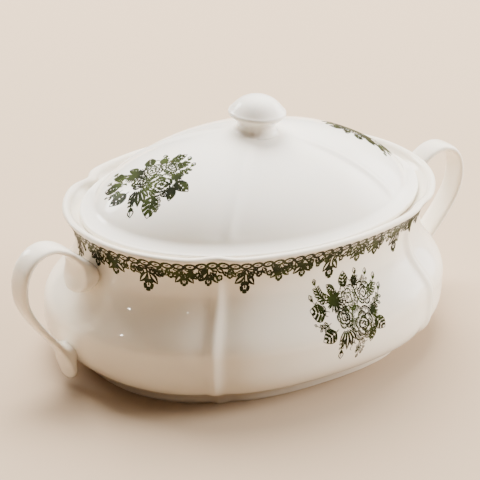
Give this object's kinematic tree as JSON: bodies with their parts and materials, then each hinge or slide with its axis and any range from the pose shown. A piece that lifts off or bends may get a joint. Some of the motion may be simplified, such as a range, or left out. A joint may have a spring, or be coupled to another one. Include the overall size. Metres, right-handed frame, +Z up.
{
  "type": "soup tureen",
  "caption": "Oval glazed ceramic soup tureen with strap handles, a lobed lip, a raised foot and a domed lift-off lid with a mushroom knob.",
  "frame": {"origin": "centre of the foot, on the plane the tureen stands on", "axes": "+X along the long axis from the left handle to the right handle, -Y the front, +Z up through the knob"},
  "size_m": [0.3872, 0.221, 0.1787],
  "materials": {
    "body_glaze": "glossy glaze over cream earthenware, dark green transfer decoration",
    "foot_glaze": "glossy glaze, bare on the standing edge",
    "lid_glaze": "glossy glaze over cream earthenware, dark green transfer decoration"
  },
  "bodies": {
    "bowl": {"bowl": "body_glaze", "foot_ring": "foot_glaze", "left_handle": "body_glaze", "right_handle": "body_glaze"},
    "lid": {"lid": "lid_glaze", "lid_locating_ring": "lid_glaze", "lid_knob": "lid_glaze"}
  },
  "joints": [
    {"name": "lid_lift", "type": "slide", "parent": "bowl", "child": "lid", "axis": [0, 0, 1], "range_m": [0, 0.07]}
  ]
}
